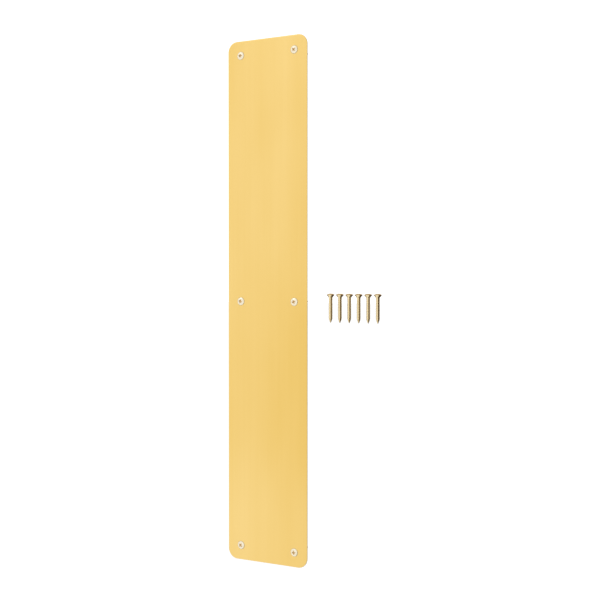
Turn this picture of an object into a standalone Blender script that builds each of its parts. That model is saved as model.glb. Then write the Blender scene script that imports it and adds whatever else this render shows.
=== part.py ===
"""A kick plate: one sheet of brass with six oval-head wood screws in it, and six more screws beside it.

Units are metres. +Z runs up the plate's long side, +X across it, and its face looks along -Y.
The origin is the centre of the back face, the face that lies flat on the door.
"""

import math

import bmesh
import bpy
from mathutils import Matrix, Vector

INCH = 0.0254

# The plate: a stock size, 6 in by 34 in, in 0.050 in sheet.
PLATE_WIDTH = 6.0 * INCH
PLATE_LENGTH = 34.0 * INCH
PLATE_THICKNESS = 0.050 * INCH
CORNER_RADIUS = 0.0170
CORNER_STEPS = 12
FRONT_BEVEL = 0.0004

# The screw: No. 14 by 1 3/4 in, oval countersunk head, cross recess, gimlet point.
HEAD_DIAMETER = 0.507 * INCH
HEAD_CROWN = 0.0024
HEAD_CONE_HALF_ANGLE = math.radians(41.0)
SHANK_DIAMETER = 0.242 * INCH
SCREW_LENGTH = 1.75 * INCH
POINT_LENGTH = 0.0062
POINT_FULLNESS = 0.14
SCREW_STEPS = 24
CROWN_STEPS = 4

# The cross recess: two tapered wings that meet on the screw's axis.
RECESS_SPAN = 0.0076
RECESS_FOOT_SPAN = 0.0030
RECESS_WIDTH = 0.0018
RECESS_FOOT_WIDTH = 0.0011
RECESS_DEPTH = 0.0042

# The holes: six, countersunk right through, with a gap all round the screw's cone.
HOLE_INSET_FROM_SIDE = 31 / 32 * INCH
HOLE_INSET_FROM_END = 15 / 16 * INCH
HOLE_GAP = 0.0003
HOLE_STEPS = 48
CUT_PAST = 0.0010

# The loose screws: a row of six, upright, to the right of the plate.
LOOSE_COUNT = 6
LOOSE_CLEAR_OF_PLATE = 0.0423
LOOSE_PITCH = 0.01675
LOOSE_RIM_HEIGHT = 0.0120

# Each screw stops at its own angle, a fixed turn on from the one before.
TURN_PER_SCREW = math.radians(37.0)

BRASS = (0.92, 0.64, 0.22, 1.0)
PALE_BRASS = (0.93, 0.79, 0.52, 1.0)

HEAD_RADIUS = HEAD_DIAMETER / 2
SHANK_RADIUS = SHANK_DIAMETER / 2
ROWS = {
    "top": PLATE_LENGTH / 2 - HOLE_INSET_FROM_END,
    "middle": 0.0,
    "bottom": HOLE_INSET_FROM_END - PLATE_LENGTH / 2,
}
SIDES = {
    "left": HOLE_INSET_FROM_SIDE - PLATE_WIDTH / 2,
    "right": PLATE_WIDTH / 2 - HOLE_INSET_FROM_SIDE,
}


def clear_scene():
    for thing in list(bpy.data.objects):
        bpy.data.objects.remove(thing)


def new_collection(name):
    collection = bpy.data.collections.new(name)
    bpy.context.scene.collection.children.link(collection)
    return collection


def metal(name, colour, roughness):
    material = bpy.data.materials.new(name)
    material.use_nodes = True
    shader = material.node_tree.nodes["Principled BSDF"]
    shader.inputs["Base Color"].default_value = colour
    shader.inputs["Metallic"].default_value = 1.0
    shader.inputs["Roughness"].default_value = roughness
    material.diffuse_color = colour
    return material


def mesh_from(bm, name):
    mesh = bpy.data.meshes.new(name)
    bm.to_mesh(mesh)
    bm.free()
    return mesh


def place(name, mesh, collection):
    thing = bpy.data.objects.new(name, mesh)
    collection.objects.link(thing)
    return thing


def hide_cutter(cutter):
    cutter.hide_render = True
    cutter.display_type = "WIRE"


def cut(target, cutter):
    modifier = target.modifiers.new(cutter.name, "BOOLEAN")
    modifier.operation = "DIFFERENCE"
    modifier.solver = "EXACT"
    modifier.object = cutter


def evaluated_mesh(thing, name):
    """The object's mesh with its modifiers applied."""
    depsgraph = bpy.context.evaluated_depsgraph_get()
    mesh = bpy.data.meshes.new_from_object(thing.evaluated_get(depsgraph))
    mesh.name = name
    return mesh


def plate_blank():
    """A sheet with rounded corners and a small bevel round its front face."""
    bm = bmesh.new()
    centre = Matrix.Translation((0.0, -PLATE_THICKNESS / 2, 0.0))
    size = Matrix.Diagonal((PLATE_WIDTH, PLATE_THICKNESS, PLATE_LENGTH, 1.0))
    bmesh.ops.create_cube(bm, size=1.0, matrix=centre @ size)

    corners = []
    for edge in bm.edges:
        along = (edge.verts[1].co - edge.verts[0].co).normalized()
        if abs(along.y) > 0.99:
            corners.append(edge)
    bmesh.ops.bevel(
        bm,
        geom=corners,
        offset=CORNER_RADIUS,
        offset_type="OFFSET",
        segments=CORNER_STEPS,
        profile=0.5,
        affect="EDGES",
    )

    front = min(bm.faces, key=lambda face: face.calc_center_median().y)
    bmesh.ops.bevel(
        bm,
        geom=list(front.edges),
        offset=FRONT_BEVEL,
        offset_type="OFFSET",
        segments=2,
        profile=0.5,
        affect="EDGES",
    )
    return mesh_from(bm, "plate")


def hole_cutter(name, x, z, collection):
    """A cone with the head's angle, wider than the head's cone by the gap, that runs past both faces."""
    slope = math.tan(HEAD_CONE_HALF_ANGLE)
    mouth = HEAD_RADIUS + HOLE_GAP / math.cos(HEAD_CONE_HALF_ANGLE)
    depth = PLATE_THICKNESS + 2 * CUT_PAST
    bm = bmesh.new()
    bmesh.ops.create_cone(
        bm,
        cap_ends=True,
        segments=HOLE_STEPS,
        radius1=mouth - slope * (PLATE_THICKNESS + CUT_PAST),
        radius2=mouth + slope * CUT_PAST,
        depth=depth,
    )
    cutter = place(name, mesh_from(bm, name), collection)
    cutter.rotation_euler.x = math.radians(90.0)
    cutter.location = (x, -PLATE_THICKNESS / 2, z)
    hide_cutter(cutter)
    return cutter


def screw_profile():
    """Half of the screw's outline, from the crown's top down to the point. The head's rim is at height 0."""
    crown_radius = (HEAD_RADIUS**2 + HEAD_CROWN**2) / (2 * HEAD_CROWN)
    crown_angle = math.asin(HEAD_RADIUS / crown_radius)
    points = []
    for i in range(CROWN_STEPS + 1):
        angle = crown_angle * i / CROWN_STEPS
        height = HEAD_CROWN - crown_radius * (1 - math.cos(angle))
        points.append((crown_radius * math.sin(angle), height))
    cone_height = (HEAD_RADIUS - SHANK_RADIUS) / math.tan(HEAD_CONE_HALF_ANGLE)
    points.append((SHANK_RADIUS, -cone_height))
    points.append((SHANK_RADIUS, POINT_LENGTH - SCREW_LENGTH))
    belly = SHANK_RADIUS * (0.5 + POINT_FULLNESS)
    points.append((belly, POINT_LENGTH / 2 - SCREW_LENGTH))
    points.append((0.0, -SCREW_LENGTH))
    return points


def recess_wing(name, turn, collection):
    """One wing of the cross: a slot through the axis that narrows towards its foot."""
    above = CUT_PAST
    height = RECESS_DEPTH + above
    grow = height / RECESS_DEPTH
    span = RECESS_FOOT_SPAN + (RECESS_SPAN - RECESS_FOOT_SPAN) * grow
    width = RECESS_FOOT_WIDTH + (RECESS_WIDTH - RECESS_FOOT_WIDTH) * grow
    bm = bmesh.new()
    middle = Matrix.Translation((0.0, 0.0, HEAD_CROWN + above - height / 2))
    size = Matrix.Diagonal((span, width, height, 1.0))
    bmesh.ops.create_cube(bm, size=1.0, matrix=middle @ size)
    foot = [vert for vert in bm.verts if vert.co.z < HEAD_CROWN - RECESS_DEPTH / 2]
    taper = Vector((RECESS_FOOT_SPAN / span, RECESS_FOOT_WIDTH / width, 1.0))
    bmesh.ops.scale(bm, vec=taper, verts=foot)
    cutter = place(name, mesh_from(bm, name), collection)
    cutter.rotation_euler.z = turn
    hide_cutter(cutter)
    return cutter


def screw_mesh(collection):
    """The turned screw with its cross cut into the head, as one mesh that every screw shares."""
    points = screw_profile()
    profile = bpy.data.meshes.new("screw_profile")
    profile.from_pydata(
        [(radius, 0.0, height) for radius, height in points],
        [(i, i + 1) for i in range(len(points) - 1)],
        [],
    )
    blank = place("screw_blank", profile, collection)
    turned = blank.modifiers.new("turned", "SCREW")
    turned.axis = "Z"
    turned.angle = math.radians(360.0)
    turned.steps = SCREW_STEPS
    turned.render_steps = SCREW_STEPS
    turned.use_merge_vertices = True
    turned.merge_threshold = 0.00001
    wings = [
        recess_wing("recess_wing_a", 0.0, collection),
        recess_wing("recess_wing_b", math.radians(90.0), collection),
    ]
    for wing in wings:
        cut(blank, wing)
    mesh = evaluated_mesh(blank, "screw")
    for helper in [blank, *wings]:
        bpy.data.objects.remove(helper)
    mesh.shade_smooth()
    mesh.set_sharp_from_angle(angle=math.radians(30.0))
    return mesh


def add_plate(collection, cutters, material):
    plate = place("plate", plate_blank(), collection)
    plate.data.materials.append(material)
    for row, z in ROWS.items():
        for side, x in SIDES.items():
            cut(plate, hole_cutter(f"hole_{row}_{side}", x, z, cutters))
    return plate


def add_fitted_screws(mesh, plate, collection):
    """Six screws in the plate's holes, heads forward, each rim level with the plate's face."""
    turn = 0.0
    for row, z in ROWS.items():
        for side, x in SIDES.items():
            screw = place(f"screw_{row}_{side}", mesh, collection)
            screw.parent = plate
            head_forward = Matrix.Rotation(math.radians(90.0), 4, "X")
            about_axis = Matrix.Rotation(turn, 4, "Z")
            seat = Matrix.Translation((x, -PLATE_THICKNESS, z))
            screw.matrix_local = seat @ head_forward @ about_axis
            turn += TURN_PER_SCREW


def add_loose_screws(mesh, collection):
    """Six screws in a row, heads up, in line with the door's face."""
    row = place("loose_row", None, collection)
    row.empty_display_size = LOOSE_PITCH
    row.location = (PLATE_WIDTH / 2 + LOOSE_CLEAR_OF_PLATE, 0.0, LOOSE_RIM_HEIGHT)
    for i in range(LOOSE_COUNT):
        screw = place(f"loose_screw_{i + 1}", mesh, collection)
        screw.parent = row
        screw.location.x = i * LOOSE_PITCH
        screw.rotation_euler.z = i * TURN_PER_SCREW


def main():
    clear_scene()
    parts = new_collection("kick_plate")
    cutters = new_collection("cutters")
    plate = add_plate(parts, cutters, metal("plate_brass", BRASS, 0.38))
    mesh = screw_mesh(cutters)
    mesh.materials.clear()
    mesh.materials.append(metal("screw_brass", PALE_BRASS, 0.22))
    add_fitted_screws(mesh, plate, parts)
    add_loose_screws(mesh, parts)


main()
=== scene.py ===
import math

import bmesh
import bpy
from mathutils import Matrix, Vector


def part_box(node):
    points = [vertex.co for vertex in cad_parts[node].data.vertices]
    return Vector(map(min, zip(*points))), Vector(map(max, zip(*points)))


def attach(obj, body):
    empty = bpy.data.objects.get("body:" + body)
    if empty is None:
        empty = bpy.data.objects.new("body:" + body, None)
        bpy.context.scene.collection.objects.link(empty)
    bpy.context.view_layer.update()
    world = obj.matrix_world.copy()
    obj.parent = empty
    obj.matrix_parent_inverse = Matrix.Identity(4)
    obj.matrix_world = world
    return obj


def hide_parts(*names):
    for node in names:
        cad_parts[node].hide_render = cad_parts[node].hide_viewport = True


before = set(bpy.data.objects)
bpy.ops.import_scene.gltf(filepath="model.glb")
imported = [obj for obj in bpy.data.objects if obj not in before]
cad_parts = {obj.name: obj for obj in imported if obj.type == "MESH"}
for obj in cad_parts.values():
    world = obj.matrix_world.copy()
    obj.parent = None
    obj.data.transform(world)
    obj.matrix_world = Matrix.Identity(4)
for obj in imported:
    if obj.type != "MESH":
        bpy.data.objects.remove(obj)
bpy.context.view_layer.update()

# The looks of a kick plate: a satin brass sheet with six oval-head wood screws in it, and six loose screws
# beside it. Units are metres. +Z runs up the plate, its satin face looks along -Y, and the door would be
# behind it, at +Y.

FITTED = [f"screw_{row}_{side}" for row in ("top", "middle", "bottom") for side in ("left", "right")]
LOOSE = [f"loose_screw_{i + 1}" for i in range(6)]

# Sizes read from the frame. A fitted screw's rim is level with the face, and its crown stands proud of both.
PLATE_LOW, PLATE_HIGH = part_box("plate")
PLATE_WIDTH = PLATE_HIGH.x - PLATE_LOW.x
PLATE_THICKNESS = PLATE_HIGH.y - PLATE_LOW.y
PLATE_LENGTH = PLATE_HIGH.z - PLATE_LOW.z
FACE_Y = PLATE_LOW.y
LOOSE_LOW, LOOSE_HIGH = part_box(LOOSE[0])
HEAD_RADIUS = (LOOSE_HIGH.x - LOOSE_LOW.x) / 2
CROWN = FACE_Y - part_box(FITTED[0])[0].y
SCREW_LENGTH = (LOOSE_HIGH.z - LOOSE_LOW.z) - CROWN

# How far a cutter runs past what it cuts, and how close two vertices lie before they become one.
CUT_PAST = 0.001
WELD_DISTANCE = 0.000002

# The plate's outline and its holes.
CORNER_RADIUS = 0.0170
CORNER_STEPS = 20
HOLE_STEPS = 96
HOLE_GAP = 0.0003
HOLE_LIP = 0.00010
# Its rim from back to front: a small burr, a round that stops short of the face, and a wide shallow roll.
BACK_BURR = 0.00010
FRONT_ROUND = 0.00034
FRONT_ROUND_SWEEP = math.radians(80.0)
FRONT_ROUND_STEPS = 5
ROLL_WIDTH = 0.0026
ROLL_DROP = 0.00016
ROLL_STEPS = 5
PLATE_CREASE = math.radians(40.0)
LARGE_FACE_WEIGHT = 100
# Its finishes, and what chooses them: how squarely a polygon looks along Y, and whether it is near the rim.
FACE, BACK, CUT_METAL = range(3)
SQUARE_ON = 0.9
SLANTED = 0.5
RIM_BAND = 0.004

# The screw's head, with its rim at height 0.
HEAD_CONE_HALF_ANGLE = math.radians(41.0)
HEAD_SLOPE = math.tan(HEAD_CONE_HALF_ANGLE)
COLUMNS = 64
CROWN_STEPS = 12
CROWN_POWER = 1.7
RIM_ABOVE = 0.00024
RIM_BELOW = 0.00020
RIM_ROUND = 0.00010
NECK_RADIUS = 0.00304
# The fillet from cone to neck: how much wider than the neck, and how far below the cone's own line.
NECK_FILLET = ((0.00130, 0.0), (0.00075, 0.00008), (0.00038, 0.00028), (0.00014, 0.00058), (0.0, 0.00110))
SCREW_CREASE = math.radians(35.0)
# Each screw stops at its own angle, a fixed turn on from the one before.
TURN_PER_SCREW = math.radians(37.0)

# The screw's thread and point.
MAJOR_RADIUS = 0.00312
ROOT_RADIUS = 0.00278
THREAD_PITCH = 0.00254
# One turn of thread, as shares of the pitch and of the thread's height: crest, flank, wide root, flank.
THREAD_STATIONS = ((0.00, 1.0), (0.20, 1.0), (0.38, 0.08), (0.45, 0.0), (0.64, 0.0), (0.72, 0.08))
# Below the neck the core narrows to the root over so many turns, and the crest rises over so many.
CORE_RUN_IN = 2
CREST_RUN_IN = 0.8
# The point narrows along a curve to a blunt end, and the crest lasts longer into it than the core does.
POINT_LENGTH = 0.0068
POINT_BLUNTNESS = 0.16
POINT_CURVE = 0.8
CREST_HOLD = 1.25

# The cross recess at the crown's top, at its foot and at its tip: half the span over two wings, half the
# width of one, and how far from the axis the inner corners are cut off.
RECESS_MOUTH = (0.0038, 0.00090, 0.00235)
RECESS_FOOT = (0.0015, 0.00055, 0.00105)
RECESS_TIP = (0.0003, 0.0001, 0.0002)
RECESS_DEPTH = 0.0034
RECESS_TIP_DEPTH = 0.0041
# A polygon is a wall of the recess when it is this near the axis, this far under the crown, within this
# share of the cone's radius, and at most this far past the tip.
RECESS_REACH = 1.3 * RECESS_MOUTH[0]
UNDER_CROWN = 0.00005
INSIDE_CONE = 0.9
PAST_TIP = 0.0001

# What mirror-like rays see: a dim brown tent, and lights in it as azimuth, elevation, inner and outer angle
# in degrees, strength and colour.
TENT_COLOUR = (0.062, 0.039, 0.018, 1.0)
WHITE = (1.0, 0.985, 0.960, 1.0)
TAN = (0.520, 0.370, 0.190, 1.0)
TENT_LIGHTS = (
    (-150.0, 42.0, 22.0, 44.0, 0.90, TAN),
    (-38.0, 72.0, 20.0, 45.0, 0.45, WHITE),
    (-80.0, -72.0, 22.0, 38.0, 0.90, WHITE),
    (140.0, -20.0, 12.0, 28.0, 0.40, WHITE),
    (95.0, 36.0, 10.0, 32.0, 0.12, WHITE),
    (156.0, 2.0, 10.0, 28.0, 0.55, WHITE),
    (-38.0, 5.0, 69.0, 78.0, 1.00, WHITE),
)

# The room. It is even white to all but mirror-like rays, with a wide floor that those rays don't see, and
# one soft box high on the left in front.
ROOM_COLOUR = (1.0, 1.0, 1.0, 1.0)
ROOM_STRENGTH = 1.25
FLOOR_COLOUR = (0.84, 0.84, 0.84, 1.0)
FLOOR_ROUGHNESS = 0.9
FLOOR_HALF_SIZE = 30.0
FLOOR_DROP = 0.25
SOFT_BOX_SIZE = (1.4, 0.9)
SOFT_BOX_POWER = 2.0
SOFT_BOX_PLACE = Vector((-1.3, -1.5, 1.9))
SOFT_BOX_AIM = Vector((0.05, 0.0, 0.0))

# The camera.
CAMERA_AZIMUTH = 30.34
CAMERA_ELEVATION = 0.98
CAMERA_DISTANCE = 1.809
CAMERA_LENS = 67.1
CAMERA_SENSOR = 36.0
CAMERA_CLIP = (0.01, 100.0)
CAMERA_AIM = Vector((0.0620, 0.0, 0.0032))


# ---------------------------------------------------------------- mesh helpers


def add_to_scene(name, data):
    thing = bpy.data.objects.new(name, data)
    bpy.context.scene.collection.objects.link(thing)
    return thing


def mesh_object(name, bm):
    mesh = bpy.data.meshes.new(name)
    bm.to_mesh(mesh)
    bm.free()
    return add_to_scene(name, mesh)


def weld(bm):
    """Joins vertices that lie together, and removes edges and faces that have no size."""
    bmesh.ops.remove_doubles(bm, verts=bm.verts, dist=WELD_DISTANCE)
    bmesh.ops.dissolve_degenerate(bm, edges=bm.edges, dist=WELD_DISTANCE)


def apply_modifiers(thing):
    depsgraph = bpy.context.evaluated_depsgraph_get()
    mesh = bpy.data.meshes.new_from_object(thing.evaluated_get(depsgraph))
    thing.modifiers.clear()
    thing.data = mesh


def cut_away(thing, cutters):
    """Takes the cutters' solids out of the object's mesh, and removes the cutters."""
    for cutter in cutters:
        modifier = thing.modifiers.new(cutter.name, "BOOLEAN")
        modifier.operation = "DIFFERENCE"
        modifier.solver = "EXACT"
        modifier.object = cutter
    apply_modifiers(thing)
    for cutter in cutters:
        bpy.data.objects.remove(cutter)
    bm = bmesh.new()
    bm.from_mesh(thing.data)
    weld(bm)
    bm.to_mesh(thing.data)
    bm.free()


def loft(bm, rings):
    """Joins closed rings of equal length with quads, closes both ends, and turns every face outwards."""
    loops = [[bm.verts.new(point) for point in ring] for ring in rings]
    count = len(loops[0])
    for low, high in zip(loops, loops[1:]):
        for i in range(count):
            j = (i + 1) % count
            bm.faces.new((low[i], low[j], high[j], high[i]))
    bm.faces.new(list(reversed(loops[0])))
    bm.faces.new(loops[-1])
    bmesh.ops.recalc_face_normals(bm, faces=bm.faces)


# ---------------------------------------------------------------- the plate


def outline(inset, y):
    """The plate's outline moved in by inset, as a ring of points at depth y."""
    radius = CORNER_RADIUS - inset
    half_x = PLATE_WIDTH / 2 - CORNER_RADIUS
    half_z = PLATE_LENGTH / 2 - CORNER_RADIUS
    middle = (PLATE_LOW + PLATE_HIGH) / 2
    ring = []
    for quarter, (side_x, side_z) in enumerate(((1, 1), (-1, 1), (-1, -1), (1, -1))):
        for step in range(CORNER_STEPS + 1):
            angle = math.radians(90.0) * (quarter + step / CORNER_STEPS)
            x = middle.x + side_x * half_x + radius * math.cos(angle)
            z = middle.z + side_z * half_z + radius * math.sin(angle)
            ring.append((x, y, z))
    return ring


def plate_rings():
    """The sheet from the back face round its rim to the front: burr, sheared side, round, roll."""
    back_y = PLATE_HIGH.y
    rings = [outline(BACK_BURR, back_y), outline(0.0, back_y - BACK_BURR)]
    round_top = FACE_Y + ROLL_DROP
    for step in range(FRONT_ROUND_STEPS + 1):
        angle = FRONT_ROUND_SWEEP * step / FRONT_ROUND_STEPS
        inset = FRONT_ROUND * (1 - math.cos(angle))
        rings.append(outline(inset, round_top + FRONT_ROUND * (1 - math.sin(angle))))
    start = FRONT_ROUND * (1 - math.cos(FRONT_ROUND_SWEEP))
    for step in range(1, ROLL_STEPS + 1):
        share = step / ROLL_STEPS
        inset = start + (ROLL_WIDTH - start) * share
        rings.append(outline(inset, FACE_Y + ROLL_DROP * (1 - share) ** 2))
    return rings


def fitted_axis(screw):
    """Where a fitted screw's axis crosses the plate, in x and z."""
    low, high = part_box(screw)
    return (low.x + high.x) / 2, (low.z + high.z) / 2


def hole_cutter(screw):
    """A turned cutter on the screw's axis: the countersink, with a small lip where it meets the face."""
    axis_x, axis_z = fitted_axis(screw)
    mouth = HEAD_RADIUS + HOLE_GAP
    profile = (
        (mouth + HOLE_LIP + CUT_PAST, FACE_Y - CUT_PAST),
        (mouth + HOLE_LIP, FACE_Y),
        (mouth - HEAD_SLOPE * HOLE_LIP, FACE_Y + HOLE_LIP),
        (mouth - HEAD_SLOPE * (PLATE_THICKNESS + CUT_PAST), PLATE_HIGH.y + CUT_PAST),
    )
    rings = []
    for radius, y in profile:
        ring = []
        for i in range(HOLE_STEPS):
            angle = 2 * math.pi * i / HOLE_STEPS
            ring.append((axis_x + radius * math.cos(angle), y, axis_z + radius * math.sin(angle)))
        rings.append(ring)
    bm = bmesh.new()
    loft(bm, rings)
    return mesh_object("hole_" + screw, bm)


def plate_finish(polygon):
    """Which finish a polygon of the sheet takes. The roll along the rim belongs to the face, lips don't."""
    facing_y = polygon.normal.y
    from_side = PLATE_WIDTH / 2 - abs(polygon.center.x)
    from_end = PLATE_LENGTH / 2 - abs(polygon.center.z)
    near_rim = min(from_side, from_end) < RIM_BAND
    if facing_y > SQUARE_ON:
        return BACK
    if facing_y > -SLANTED or (facing_y > -SQUARE_ON and not near_rim):
        return CUT_METAL
    return FACE


def build_plate(materials):
    """The sheet, with materials in the order face, back, cut metal."""
    bm = bmesh.new()
    loft(bm, plate_rings())
    plate = mesh_object("plate_sheet", bm)
    cut_away(plate, [hole_cutter(screw) for screw in FITTED])
    for material in materials:
        plate.data.materials.append(material)
    for polygon in plate.data.polygons:
        polygon.material_index = plate_finish(polygon)
    plate.data.shade_smooth()
    plate.data.set_sharp_from_angle(angle=PLATE_CREASE)
    weighted = plate.modifiers.new("flat_faces_stay_flat", "WEIGHTED_NORMAL")
    weighted.keep_sharp = True
    weighted.weight = LARGE_FACE_WEIGHT
    return plate


# ---------------------------------------------------------------- the screws


def clamped(value):
    return min(1.0, max(0.0, value))


def crown_height(from_axis):
    """The crown's height over the rim: a dome that meets a narrow upright rim."""
    share = min(1.0, from_axis / (HEAD_RADIUS - RIM_ROUND))
    return RIM_ABOVE + (CROWN - RIM_ABOVE) * (1 - share**CROWN_POWER)


def head_rows():
    """Radius and height of the head's rows, from the crown's first ring down to the neck."""
    crown_edge = HEAD_RADIUS - RIM_ROUND
    radii = [crown_edge * step / CROWN_STEPS for step in range(1, CROWN_STEPS)]
    rows = [(radius, crown_height(radius)) for radius in (*radii, crown_edge - RIM_ROUND, crown_edge)]
    rows.append((HEAD_RADIUS, RIM_ABOVE - RIM_ROUND))
    rows.append((HEAD_RADIUS, -RIM_BELOW + RIM_ROUND))
    rows.append((HEAD_RADIUS - RIM_ROUND, -RIM_BELOW))
    foot = (HEAD_RADIUS - NECK_RADIUS) / HEAD_SLOPE
    for wider, lower in NECK_FILLET:
        rows.append((NECK_RADIUS + wider, -foot + wider / HEAD_SLOPE - lower))
    return rows


def thread_radius(height, share, top):
    """The shank's radius at a height: the core and a share of the crest, both narrowing into the point."""
    turns_down = (top - height) / THREAD_PITCH
    core = NECK_RADIUS + (ROOT_RADIUS - NECK_RADIUS) * clamped(turns_down / CORE_RUN_IN)
    crest = (MAJOR_RADIUS - core) * share * clamped(turns_down / CREST_RUN_IN)
    along_point = clamped((height + SCREW_LENGTH) / POINT_LENGTH)
    narrowing = POINT_BLUNTNESS + (1 - POINT_BLUNTNESS) * along_point**POINT_CURVE
    return core * narrowing + crest * min(1.0, along_point * CREST_HOLD)


def thread_rows(top):
    """Rows of radius and height down the shank. Each follows the right-hand helix once round, so it ends
    where its own station in the turn above begins."""
    turns = math.ceil((SCREW_LENGTH + top) / THREAD_PITCH) + 1
    rows = []
    for turn in range(-1, turns):
        for offset, share in THREAD_STATIONS:
            row = []
            for i in range(COLUMNS + 1):
                fall = (turn + offset - i / COLUMNS) * THREAD_PITCH
                height = min(top, max(-SCREW_LENGTH, top - fall - THREAD_PITCH))
                row.append((thread_radius(height, share, top), height))
            rows.append(row)
    return rows


def screw_blank():
    """The screw before its cross is cut, head up: crown, rim, cone, neck, thread and point."""
    head = head_rows()
    neck_height = head[-1][1]
    rows = [[point] * (COLUMNS + 1) for point in head]
    rows += thread_rows(neck_height)
    rows.append([(0.0, -SCREW_LENGTH)] * (COLUMNS + 1))

    bm = bmesh.new()
    rings = []
    for row in rows:
        ring = []
        for i, (radius, height) in enumerate(row):
            angle = 2 * math.pi * i / COLUMNS
            ring.append(bm.verts.new((radius * math.cos(angle), radius * math.sin(angle), height)))
        rings.append(ring)
    crown_top = bm.verts.new((0.0, 0.0, CROWN))
    for i in range(COLUMNS):
        bm.faces.new((crown_top, rings[0][i], rings[0][i + 1]))
    for upper, lower in zip(rings, rings[1:]):
        for i in range(COLUMNS):
            bm.faces.new((upper[i], lower[i], lower[i + 1], upper[i + 1]))
    weld(bm)
    bmesh.ops.recalc_face_normals(bm, faces=bm.faces)
    return mesh_object("screw_blank", bm)


def recess_ring(size, height):
    """A cross with cut-off inner corners, anticlockwise."""
    span, half_width, throat = size
    quarter = ((span, -half_width), (span, half_width), (throat, half_width), (half_width, throat))
    ring = []
    for turn in range(4):
        about = Matrix.Rotation(math.radians(90.0) * turn, 3, "Z")
        for x, y in quarter:
            ring.append(about @ Vector((x, y, height)))
    return ring


def recess_cutter():
    """The punch for the cross. Its wings widen from foot to mouth, and go on widening past the crown."""
    grow = CUT_PAST / RECESS_DEPTH
    above_crown = [mouth + (mouth - foot) * grow for mouth, foot in zip(RECESS_MOUTH, RECESS_FOOT)]
    bm = bmesh.new()
    rings = (
        recess_ring(RECESS_TIP, CROWN - RECESS_TIP_DEPTH),
        recess_ring(RECESS_FOOT, CROWN - RECESS_DEPTH),
        recess_ring(above_crown, CROWN + CUT_PAST),
    )
    loft(bm, rings)
    return mesh_object("recess", bm)


def in_recess(polygon):
    """Whether a polygon of the screw is a wall of the cross."""
    x, y, z = polygon.center
    from_axis = math.hypot(x, y)
    inside_head = from_axis < INSIDE_CONE * (HEAD_RADIUS + z * HEAD_SLOPE)
    in_depth = CROWN - RECESS_TIP_DEPTH - PAST_TIP < z < crown_height(from_axis) - UNDER_CROWN
    return from_axis < RECESS_REACH and inside_head and in_depth


def build_screw_mesh(materials):
    """The mesh that all twelve screws share, with materials in the order plating, recess."""
    screw = screw_blank()
    cut_away(screw, [recess_cutter()])
    mesh = screw.data
    bpy.data.objects.remove(screw)
    for material in materials:
        mesh.materials.append(material)
    for polygon in mesh.polygons:
        polygon.material_index = int(in_recess(polygon))
    mesh.shade_smooth()
    mesh.set_sharp_from_angle(angle=SCREW_CREASE)
    return mesh


def place_screw(name, mesh, matrix):
    screw = add_to_scene(name + "_look", mesh)
    screw.matrix_world = matrix
    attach(screw, name)
    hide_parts(name)


def build_screws(materials):
    """Six screws in the plate's holes, heads forward, and six upright beside it, each at its own angle."""
    mesh = build_screw_mesh(materials)
    head_forward = Matrix.Rotation(math.radians(90.0), 4, "X")
    for i, name in enumerate(FITTED):
        x, z = fitted_axis(name)
        seat = Matrix.Translation((x, FACE_Y, z))
        place_screw(name, mesh, seat @ head_forward @ Matrix.Rotation(i * TURN_PER_SCREW, 4, "Z"))
    for i, name in enumerate(LOOSE):
        low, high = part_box(name)
        stand = Matrix.Translation(((low.x + high.x) / 2, (low.y + high.y) / 2, high.z - CROWN))
        place_screw(name, mesh, stand @ Matrix.Rotation(i * TURN_PER_SCREW, 4, "Z"))


# ---------------------------------------------------------------- nodes


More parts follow.
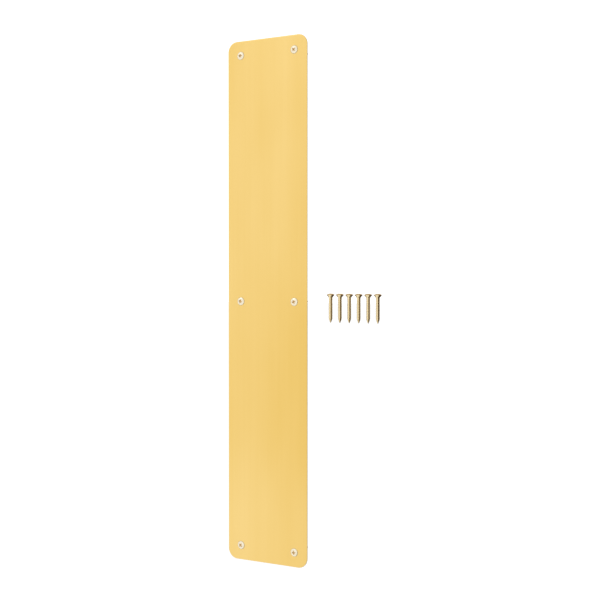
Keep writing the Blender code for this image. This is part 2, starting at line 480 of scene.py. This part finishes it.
class Nodes:
    """A short way to write the nodes of a material or a world."""

    def __init__(self, owner):
        owner.use_nodes = True
        self.owner = owner
        self.tree = owner.node_tree

    def put(self, socket, value):
        """Links the value if it is another node's output, and sets it on the socket if it isn't."""
        if isinstance(value, bpy.types.NodeSocket):
            self.tree.links.new(value, socket)
        else:
            socket.default_value = value

    def add(self, kind, inputs=(), **settings):
        node = self.tree.nodes.new(kind)
        for key, value in settings.items():
            setattr(node, key, value)
        for key, value in dict(inputs).items():
            self.put(node.inputs[key], value)
        return node

    def math(self, operation, a, b=0.0):
        return self.add("ShaderNodeMath", {0: a, 1: b}, operation=operation).outputs["Value"]

    def total(self, *values):
        result = values[0]
        for value in values[1:]:
            result = self.math("ADD", result, value)
        return result

    def object_point(self):
        return self.add("ShaderNodeTexCoord").outputs["Object"]

    def noise(self, vector, scale, detail=2.0, roughness=0.5):
        inputs = {"Vector": vector, "Scale": scale, "Detail": detail, "Roughness": roughness}
        return self.add("ShaderNodeTexNoise", inputs).outputs["Fac"]

    def streaky(self, vector, scales, detail=2.0, roughness=0.5):
        """Noise with a scale of its own along each axis."""
        stretched = self.add("ShaderNodeMapping", {"Vector": vector, "Scale": scales}).outputs["Vector"]
        return self.noise(stretched, 1.0, detail, roughness)

    def between(self, value, from_low, from_high, low, high, smooth=False):
        inputs = {"Value": value, "From Min": from_low, "From Max": from_high, "To Min": low, "To Max": high}
        kind = "SMOOTHSTEP" if smooth else "LINEAR"
        return self.add("ShaderNodeMapRange", inputs, interpolation_type=kind, clamp=True).outputs["Result"]

    def spread(self, noise, low, high):
        """Noise stays mostly between 0.3 and 0.7. This makes that range low to high."""
        return self.between(noise, 0.3, 0.7, low, high)

    def blend(self, factor, a, b):
        inputs = {"Factor": factor, "A": a, "B": b}
        return self.add("ShaderNodeMix", inputs, data_type="RGBA").outputs["Result"]

    def bump(self, height, distance, strength=1.0, below=None):
        inputs = {"Height": height, "Distance": distance, "Strength": strength}
        if below is not None:
            inputs["Normal"] = below
        return self.add("ShaderNodeBump", inputs).outputs["Normal"]

    def finish(self, colour, roughness, normal, metallic=1.0):
        """Sets the shader of a metal, and gives back the material."""
        shader = self.tree.nodes["Principled BSDF"]
        self.put(shader.inputs["Base Color"], colour)
        self.put(shader.inputs["Roughness"], roughness)
        self.put(shader.inputs["Normal"], normal)
        shader.inputs["Metallic"].default_value = metallic
        return self.owner


# ---------------------------------------------------------------- materials

# The brushed face. Each layer's scales run across the plate, through it and along it.
LIGHT_BRASS = (0.965, 0.708, 0.272, 1.0)
DEEP_BRASS = (0.885, 0.606, 0.172, 1.0)
GRAIN = (2600.0, 1.0, 14.0)
HAIRS = (900.0, 1.0, 5.0)
STREAKS = (95.0, 1.0, 1.6)
CLOUDS = (16.0, 1.0, 5.0)
SWELL = (7.0, 1.0, 3.0)
GRAIN_DEPTH = 0.000006
SWELL_DEPTH = 0.0012
# Its tone runs from 0, deep, to 1, light. The streaks, clouds and hairs each sway it both ways. The other
# values paint reflection and shade, and say where a change begins and ends, and from what to what: the
# painted lean across the plate and how it turns over with height, the painted dark band by the distance
# from its own height, and the painted shade of the deeper right margin, which is weaker low down.
MEAN_TONE = 0.60
STREAK_TONE = 0.05
CLOUD_TONE = 0.13
HAIR_TONE = 0.06
PAINTED_LEAN = (PLATE_LOW.x, PLATE_HIGH.x, 0.18, -0.22)
PAINTED_LEAN_WITH_HEIGHT = (-0.05, 0.40, 1.0, -0.9)
PAINTED_WAIST_HEIGHT = -0.14
PAINTED_WAIST = (0.02, 0.24, -0.34, 0.09)
SHADED_MARGIN = (0.028, 0.066, 0.0, -0.24)
SHADED_MARGIN_WITH_HEIGHT = (-0.25, 0.10, 0.2, 1.0)


def satin_brass():
    """Brass brushed along the plate: fine grain, faint broad streaks, a tone that changes slowly, and broad
    painted reflection and shade.
    """
    n = Nodes(bpy.data.materials.new("satin_brass"))
    point = n.object_point()
    x, _, z = n.add("ShaderNodeSeparateXYZ", {"Vector": point}).outputs
    grain = n.streaky(point, GRAIN, 3.0, 0.6)
    hairs = n.streaky(point, HAIRS)
    streaks = n.streaky(point, STREAKS, 2.0, 0.4)
    clouds = n.streaky(point, CLOUDS, 1.0)

    # Painted reflection and shade: a lighter and darker lean across the plate, a dark band at the waist and
    # a darker right margin.
    painted_lean = n.math("MULTIPLY", n.between(x, *PAINTED_LEAN), n.between(z, *PAINTED_LEAN_WITH_HEIGHT))
    from_painted_waist = n.math("ABSOLUTE", n.math("SUBTRACT", z, PAINTED_WAIST_HEIGHT))
    painted_waist = n.between(from_painted_waist, *PAINTED_WAIST, smooth=True)
    shaded_margin = n.math("MULTIPLY", n.between(x, *SHADED_MARGIN, smooth=True), n.between(z, *SHADED_MARGIN_WITH_HEIGHT))
    tone = n.total(
        painted_lean,
        painted_waist,
        shaded_margin,
        MEAN_TONE,
        n.spread(streaks, -STREAK_TONE, STREAK_TONE),
        n.spread(clouds, -CLOUD_TONE, CLOUD_TONE),
        n.spread(hairs, -HAIR_TONE, HAIR_TONE),
    )
    colour = n.blend(n.between(tone, 0.0, 1.0, 0.0, 1.0), DEEP_BRASS, LIGHT_BRASS)

    roughness = n.total(n.spread(hairs, 0.32, 0.38), n.spread(grain, -0.025, 0.025))
    swell = n.bump(n.streaky(point, SWELL, 1.0), SWELL_DEPTH, 0.5)
    return n.finish(colour, roughness, n.bump(grain, GRAIN_DEPTH, 0.6, swell))


MILL_LIGHT = (0.95, 0.70, 0.28, 1.0)
MILL_STAINED = (0.85, 0.60, 0.22, 1.0)
STAINS = 38.0
ROLLING_MARKS = (420.0, 1.0, 4.0)
ROLLING_DEPTH = 0.000012


def mill_brass():
    """The back: as the sheet left the rolling mill, duller than the face, with faint stains."""
    n = Nodes(bpy.data.materials.new("mill_brass"))
    point = n.object_point()
    stains = n.noise(point, STAINS, 4.0, 0.6)
    rolling = n.streaky(point, ROLLING_MARKS, 3.0)
    tone = n.total(n.between(stains, 0.35, 0.70, 0.0, 0.4, smooth=True), n.spread(rolling, 0.0, 0.6))
    colour = n.blend(tone, MILL_LIGHT, MILL_STAINED)
    roughness = n.spread(stains, 0.42, 0.48)
    return n.finish(colour, roughness, n.bump(rolling, ROLLING_DEPTH, 0.6), metallic=0.68)


# Darker than the face: partly the sheared metal's own duller tone, partly painted shade on the side faces.
CUT_DARK = (0.66, 0.47, 0.20, 1.0)
CUT_LIGHT = (0.80, 0.60, 0.28, 1.0)
TOOL_MARKS = (1500.0, 400.0, 1500.0)
TOOL_MARK_DEPTH = 0.00002


def cut_and_shaded_brass():
    """The sheared rim and the countersinks: short tool marks and a darker tone, partly the cut metal's own
    and partly painted shade.
    """
    n = Nodes(bpy.data.materials.new("cut_and_shaded_brass"))
    marks = n.streaky(n.object_point(), TOOL_MARKS)
    colour = n.blend(n.spread(marks, 0.0, 1.0), CUT_DARK, CUT_LIGHT)
    roughness = n.spread(marks, 0.30, 0.48)
    return n.finish(colour, roughness, n.bump(marks, TOOL_MARK_DEPTH, 0.5))


# Paler on the crown: partly its own colour, partly a painted highlight. The tarnish colour also paints shade
# in the thread roots.
PLATING = (0.920, 0.780, 0.490, 1.0)
CROWN_PLATING_AND_HIGHLIGHT = (0.955, 0.885, 0.710, 1.0)
TARNISH_AND_SHADE_PLATING = (0.74, 0.56, 0.28, 1.0)
TURNING_RINGS = 5200.0
TURNING_DEPTH = 0.000008
TARNISH = 420.0
ROOT_SHADE = 0.55
ROOT_DULLNESS = 0.10
CROWN_DULLNESS = 0.12
# The heights between which the head's finish gives way to the threaded shank's.
SHANK_BEGINS = (-0.0045, -0.0035)


def screw_brass():
    """Pale bright brass plating: turning rings on the crown, which is paler partly as a painted highlight, a
    little tarnish, and painted shade deeper in the thread.
    """
    n = Nodes(bpy.data.materials.new("screw_brass"))
    point = n.object_point()
    x, y, z = n.add("ShaderNodeSeparateXYZ", {"Vector": point}).outputs
    from_axis = n.math("SQRT", n.math("ADD", n.math("MULTIPLY", x, x), n.math("MULTIPLY", y, y)))
    along_profile = n.add("ShaderNodeCombineXYZ", {"X": from_axis, "Z": z}).outputs["Vector"]
    rings = n.noise(along_profile, TURNING_RINGS)
    tarnish = n.noise(point, TARNISH, 3.0, 0.6)

    on_shank = n.between(z, *SHANK_BEGINS, 1.0, 0.0)
    # Painted shade: darker towards the roots of the thread.
    root_shade_mask = n.between(from_axis, ROOT_RADIUS, MAJOR_RADIUS, ROOT_SHADE, 0.0)
    deep = n.math("MULTIPLY", root_shade_mask, on_shank)
    on_crown = n.between(z, 0.0, RIM_ABOVE, 0.0, 1.0)
    tone = n.total(deep, n.between(tarnish, 0.35, 0.75, 0.0, 0.25, smooth=True))
    # The crown's paler colour is partly a painted highlight.
    colour = n.blend(tone, n.blend(on_crown, PLATING, CROWN_PLATING_AND_HIGHLIGHT), TARNISH_AND_SHADE_PLATING)
    roughness = n.total(
        n.spread(tarnish, 0.09, 0.14),
        n.math("MULTIPLY", deep, ROOT_DULLNESS),
        n.math("MULTIPLY", on_crown, CROWN_DULLNESS),
    )
    return n.finish(colour, roughness, n.bump(rings, TURNING_DEPTH, 0.5))


# Painted shade in the cross: its colours are a little darker on the whole than the plating.
RECESS_DARK = (0.84, 0.66, 0.38, 1.0)
RECESS_LIGHT = (0.95, 0.79, 0.52, 1.0)
PUNCH_MARKS = 900.0
PUNCH_MARK_DEPTH = 0.00002


def shaded_recess_brass():
    """Inside the cross: punched and unpolished, a little darker on the whole than the plating as painted
    shade.
    """
    n = Nodes(bpy.data.materials.new("shaded_recess_brass"))
    marks = n.noise(n.object_point(), PUNCH_MARKS, 3.0, 0.6)
    colour = n.blend(n.spread(marks, 0.0, 1.0), RECESS_DARK, RECESS_LIGHT)
    roughness = n.spread(marks, 0.38, 0.52)
    return n.finish(colour, roughness, n.bump(marks, PUNCH_MARK_DEPTH, 0.5), metallic=0.70)


def floor_white():
    """Plain matt white."""
    n = Nodes(bpy.data.materials.new("floor_white"))
    shader = n.tree.nodes["Principled BSDF"]
    shader.inputs["Base Color"].default_value = FLOOR_COLOUR
    shader.inputs["Roughness"].default_value = FLOOR_ROUGHNESS
    shader.inputs["Specular IOR Level"].default_value = 0.0
    return n.owner


# ---------------------------------------------------------------- studio


def direction_to(azimuth, elevation):
    """A unit vector. Azimuth 0 points along -Y, out of the plate's face, and 90 along +X."""
    a, e = math.radians(azimuth), math.radians(elevation)
    return Vector((math.sin(a) * math.cos(e), -math.cos(a) * math.cos(e), math.sin(e)))


def tent(n):
    """The tent's colour by direction: each light in turn is laid over what is there already."""
    direction = n.add("ShaderNodeTexCoord").outputs["Generated"]
    colour = TENT_COLOUR
    for azimuth, elevation, inner, outer, strength, light_colour in TENT_LIGHTS:
        inputs = {0: direction, 1: direction_to(azimuth, elevation)}
        facing = n.add("ShaderNodeVectorMath", inputs, operation="DOT_PRODUCT").outputs["Value"]
        edge, full = math.cos(math.radians(outer)), math.cos(math.radians(inner))
        glow = n.between(facing, edge, full, 0.0, strength, smooth=True)
        colour = n.blend(glow, colour, light_colour)
    return n.add("ShaderNodeBackground", {"Color": colour}).outputs["Background"]


def build_world():
    """A white room. Mirror-like rays see the tent with its lights, and all other rays see even white."""
    world = bpy.data.worlds.new("studio")
    bpy.context.scene.world = world
    n = Nodes(world)
    white = n.tree.nodes["Background"]
    white.inputs["Color"].default_value = ROOM_COLOUR
    white.inputs["Strength"].default_value = ROOM_STRENGTH
    is_glossy = n.add("ShaderNodeLightPath").outputs["Is Glossy Ray"]
    choose = n.add("ShaderNodeMixShader", {0: is_glossy, 1: white.outputs["Background"], 2: tent(n)})
    n.put(n.tree.nodes["World Output"].inputs["Surface"], choose.outputs["Shader"])


def build_floor():
    bm = bmesh.new()
    bmesh.ops.create_grid(bm, x_segments=1, y_segments=1, size=FLOOR_HALF_SIZE)
    floor = mesh_object("floor", bm)
    floor.location.z = PLATE_LOW.z - FLOOR_DROP
    floor.visible_glossy = False
    floor.data.materials.append(floor_white())


def build_light():
    """One soft box, for the highlights on the screws."""
    lamp = bpy.data.lights.new("soft_box", "AREA")
    lamp.shape = "RECTANGLE"
    lamp.size, lamp.size_y = SOFT_BOX_SIZE
    lamp.energy = SOFT_BOX_POWER
    light = add_to_scene("soft_box", lamp)
    light.location = SOFT_BOX_PLACE
    light.rotation_euler = (SOFT_BOX_AIM - SOFT_BOX_PLACE).to_track_quat("-Z", "Y").to_euler()


def build_camera():
    back = direction_to(CAMERA_AZIMUTH, CAMERA_ELEVATION)
    data = bpy.data.cameras.new("camera")
    data.lens = CAMERA_LENS
    data.sensor_width = CAMERA_SENSOR
    data.clip_start, data.clip_end = CAMERA_CLIP
    camera = add_to_scene("camera", data)
    camera.location = CAMERA_AIM + back * CAMERA_DISTANCE
    camera.rotation_euler = (-back).to_track_quat("-Z", "Y").to_euler()
    bpy.context.scene.camera = camera


def main():
    bpy.context.scene.view_settings.view_transform = "Standard"
    plate = build_plate([satin_brass(), mill_brass(), cut_and_shaded_brass()])
    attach(plate, "plate")
    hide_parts("plate")
    build_screws([screw_brass(), shaded_recess_brass()])
    build_world()
    build_floor()
    build_light()
    build_camera()


main()
